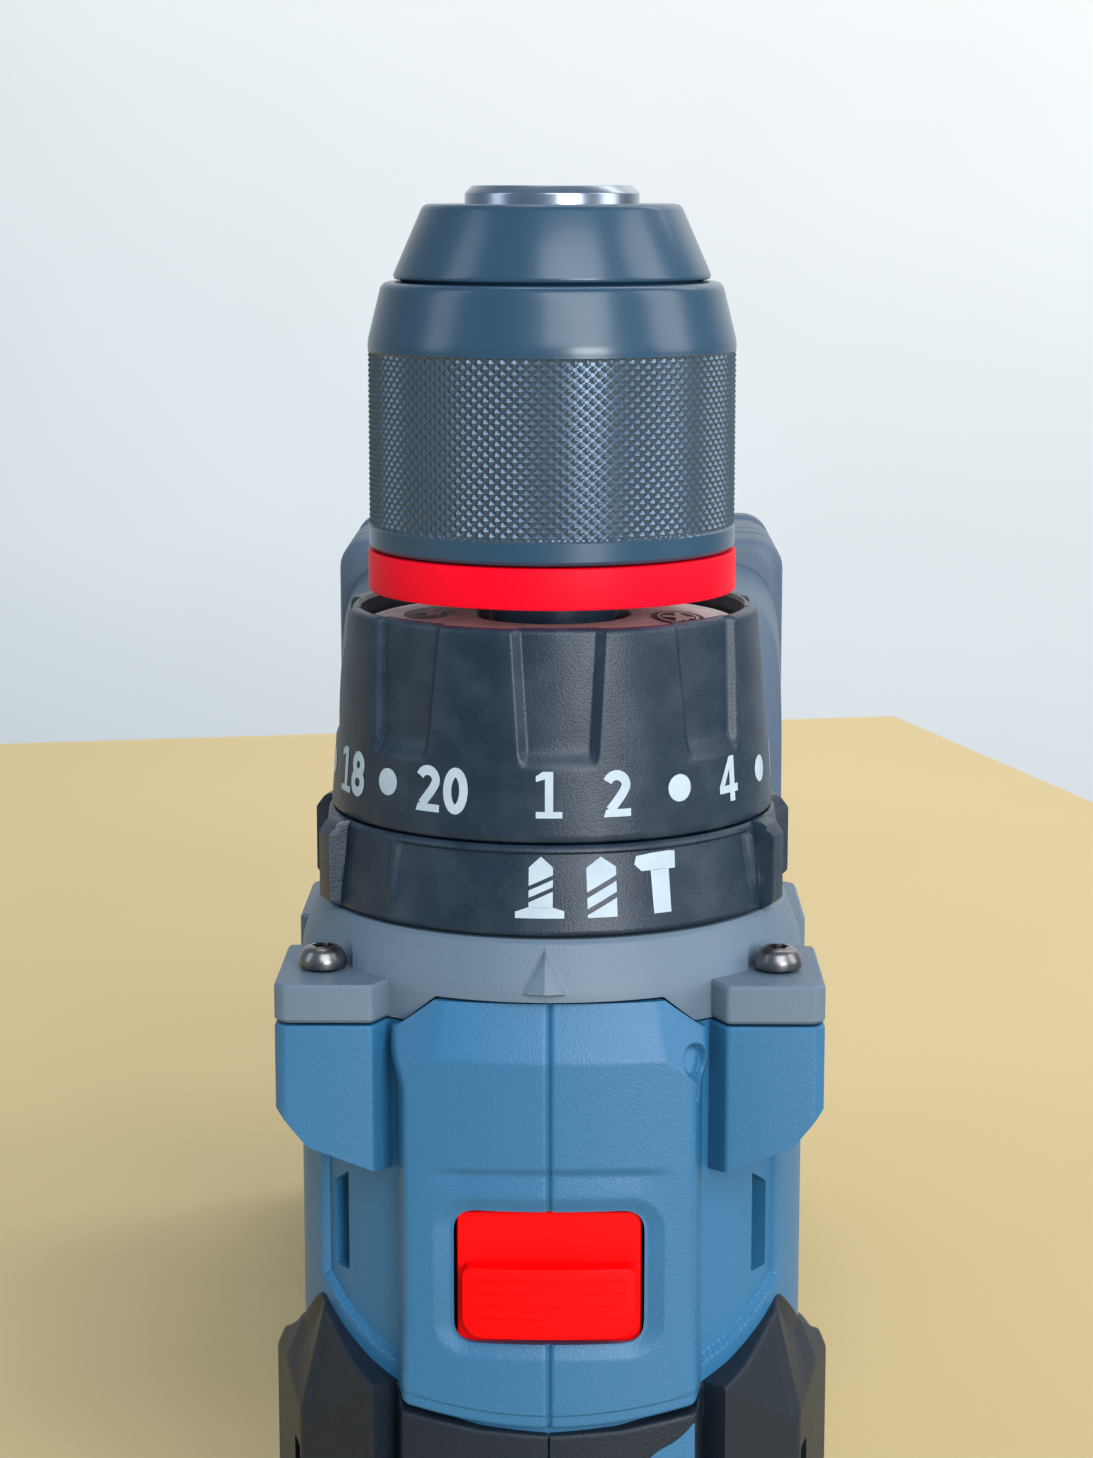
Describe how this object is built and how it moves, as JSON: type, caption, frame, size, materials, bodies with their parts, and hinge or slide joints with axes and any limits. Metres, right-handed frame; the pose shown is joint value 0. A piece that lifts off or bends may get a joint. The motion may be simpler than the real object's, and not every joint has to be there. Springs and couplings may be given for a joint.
{
  "type": "cordless hammer drill",
  "caption": "Cordless hammer drill with a keyless chuck, torque collar, mode ring, speed slide, trigger, planetary gearbox, brushless motor and a slide-on battery pack.",
  "frame": {"origin": "on the spindle axis, at the flat tail face that the drill stands on", "axes": "+Z along the spindle towards the chuck nose, +Y from the barrel down the handle to the battery, -Y is the top of the tool with the speed selector, +X is the right of the tool as the picture shows it"},
  "size_m": [0.074, 0.2306, 0.184],
  "materials": {
    "blue_plastic": "moulded satin",
    "grey_plastic": "moulded matt",
    "black_plastic": "moulded satin",
    "rubber": "soft overmould",
    "red_plastic": "bright moulded",
    "white_plastic": "moulded",
    "black_metal": "black oxide, worn satin",
    "steel": "machined",
    "light_alloy": "die cast",
    "copper": "bare",
    "board": "solder mask",
    "lens": "clear",
    "cell_wrap": "plastic wrap over a cell"
  },
  "bodies": {
    "housing": {"housing_left": "blue_plastic", "housing_right": "blue_plastic", "rear_cap": "black_plastic", "overmould_left": "rubber", "overmould_right": "rubber", "grip_left": "rubber", "grip_right": "rubber", "gearbox_flange": "grey_plastic", "flange_screw_1": "steel", "flange_screw_2": "steel", "flange_screw_3": "steel", "flange_screw_4": "steel", "housing_screw_1": "steel", "housing_screw_2": "steel", "housing_screw_3": "steel", "dial_plate": "white_plastic", "gearbox_housing": "black_plastic", "gearbox_nose": "light_alloy", "ring_gear": "steel", "spindle_bearing": "steel", "stator": "steel", "windings": "copper", "motor_bearing": "steel", "trigger_switch": "black_plastic", "trigger_spring": "steel", "controller_board": "board", "led_lens": "lens", "battery_mount": "black_plastic", "terminal_block": "copper", "clutch_spring": "steel"},
    "spindle": {"spindle": "black_metal", "chuck_body": "steel", "chuck_screw": "steel", "output_carrier": "steel"},
    "chuck_sleeve": {"chuck_sleeve": "black_metal", "chuck_nose_cone": "black_metal", "chuck_red_ring": "red_plastic", "jaw_nut": "steel"},
    "jaw_1": {"jaw_1": "steel"},
    "jaw_2": {"jaw_2": "steel"},
    "jaw_3": {"jaw_3": "steel"},
    "first_carrier": {"first_carrier": "steel"},
    "rotor": {"rotor": "steel", "cooling_fan": "black_plastic"},
    "planet_1a": {"planet_1a": "steel"},
    "planet_1b": {"planet_1b": "steel"},
    "planet_1c": {"planet_1c": "steel"},
    "planet_2a": {"planet_2a": "steel"},
    "planet_2b": {"planet_2b": "steel"},
    "planet_2c": {"planet_2c": "steel"},
    "torque_collar": {"torque_collar": "black_plastic"},
    "pressure_ring": {"pressure_ring": "black_plastic"},
    "mode_ring": {"mode_ring": "black_plastic"},
    "speed_selector": {"speed_selector": "red_plastic"},
    "trigger": {"trigger": "red_plastic"},
    "direction_lever": {"direction_lever": "red_plastic"},
    "battery": {"battery_upper_case": "black_plastic", "battery_lower_case": "black_plastic", "battery_cells": "cell_wrap"},
    "battery_release": {"battery_release": "black_plastic"}
  },
  "joints": [
    {"name": "chuck_spin", "type": "hinge", "parent": "housing", "child": "spindle", "pos_m": [0, 0, 0.14], "axis": [0, 0, 1], "continuous": true},
    {"name": "sleeve_turn", "type": "hinge", "parent": "spindle", "child": "chuck_sleeve", "pos_m": [0, 0, 0.155], "axis": [0, 0, -1], "range_deg": [0, 3600]},
    {"name": "jaw_1_slide", "type": "slide", "parent": "spindle", "child": "jaw_1", "axis": [0, 0.2588, 0.9659], "range_m": [0, 0.02221]},
    {"name": "jaw_2_slide", "type": "slide", "parent": "spindle", "child": "jaw_2", "axis": [-0.2241, -0.1294, 0.9659], "range_m": [0, 0.02221]},
    {"name": "jaw_3_slide", "type": "slide", "parent": "spindle", "child": "jaw_3", "axis": [0.2241, -0.1294, 0.9659], "range_m": [0, 0.02221]},
    {"name": "first_carrier_spin", "type": "hinge", "parent": "housing", "child": "first_carrier", "pos_m": [0, 0, 0.064], "axis": [0, 0, 1], "continuous": true},
    {"name": "rotor_spin", "type": "hinge", "parent": "housing", "child": "rotor", "pos_m": [0, 0, 0.03], "axis": [0, 0, 1], "continuous": true},
    {"name": "planet_1a_spin", "type": "hinge", "parent": "first_carrier", "child": "planet_1a", "pos_m": [0.0126, 0, 0.058], "axis": [0, 0, 1], "continuous": true},
    {"name": "planet_1b_spin", "type": "hinge", "parent": "first_carrier", "child": "planet_1b", "pos_m": [-0.0063, 0.01091, 0.058], "axis": [0, 0, 1], "continuous": true},
    {"name": "planet_1c_spin", "type": "hinge", "parent": "first_carrier", "child": "planet_1c", "pos_m": [-0.0063, -0.01091, 0.058], "axis": [0, 0, 1], "continuous": true},
    {"name": "planet_2a_spin", "type": "hinge", "parent": "spindle", "child": "planet_2a", "pos_m": [0.0126, 0, 0.072], "axis": [0, 0, 1], "continuous": true},
    {"name": "planet_2b_spin", "type": "hinge", "parent": "spindle", "child": "planet_2b", "pos_m": [-0.0063, 0.01091, 0.072], "axis": [0, 0, 1], "continuous": true},
    {"name": "planet_2c_spin", "type": "hinge", "parent": "spindle", "child": "planet_2c", "pos_m": [-0.0063, -0.01091, 0.072], "axis": [0, 0, 1], "continuous": true},
    {"name": "torque_turn", "type": "hinge", "parent": "housing", "child": "torque_collar", "pos_m": [0, 0, 0.124], "axis": [0, 0, -1], "range_deg": [0, 332.5]},
    {"name": "pressure_slide", "type": "slide", "parent": "housing", "child": "pressure_ring", "axis": [0, 0, -1], "range_m": [0, 0.003], "deforming": ["clutch_spring"]},
    {"name": "mode_turn", "type": "hinge", "parent": "housing", "child": "mode_ring", "pos_m": [0, 0, 0.1066], "axis": [0, 0, -1], "range_deg": [0, 30.5]},
    {"name": "speed_slide", "type": "slide", "parent": "housing", "child": "speed_selector", "axis": [0, 0, 1], "range_m": [0, 0.006]},
    {"name": "trigger_pull", "type": "slide", "parent": "housing", "child": "trigger", "axis": [0, 0, -1], "range_m": [0, 0.006], "stiffness_N_per_m": 1000, "springref_m": -0.003, "deforming": ["trigger_spring"]},
    {"name": "direction_slide", "type": "slide", "parent": "housing", "child": "direction_lever", "axis": [1, 0, 0], "range_m": [-0.003, 0.003]},
    {"name": "battery_slide", "type": "slide", "parent": "housing", "child": "battery", "axis": [0, 0, 1], "range_m": [0, 0.105]},
    {"name": "release_press", "type": "slide", "parent": "battery", "child": "battery_release", "axis": [0, 1, 0], "range_m": [0, 0.0035], "stiffness_N_per_m": 1000, "springref_m": -0.002}
  ],
  "couplings": [
    {"joint": "jaw_1_slide", "follows": "sleeve_turn", "m_per_rad": 0.00035332},
    {"joint": "jaw_2_slide", "follows": "sleeve_turn", "m_per_rad": 0.00035332},
    {"joint": "jaw_3_slide", "follows": "sleeve_turn", "m_per_rad": 0.00035332},
    {"joint": "first_carrier_spin", "follows": "chuck_spin", "ratio": 4},
    {"joint": "rotor_spin", "follows": "chuck_spin", "ratio": 16},
    {"joint": "planet_1a_spin", "follows": "chuck_spin", "ratio": -12},
    {"joint": "planet_1b_spin", "follows": "chuck_spin", "ratio": -12},
    {"joint": "planet_1c_spin", "follows": "chuck_spin", "ratio": -12},
    {"joint": "planet_2a_spin", "follows": "chuck_spin", "ratio": -3},
    {"joint": "planet_2b_spin", "follows": "chuck_spin", "ratio": -3},
    {"joint": "planet_2c_spin", "follows": "chuck_spin", "ratio": -3},
    {"joint": "pressure_slide", "follows": "torque_turn", "m_per_rad": 0.00051695}
  ]
}
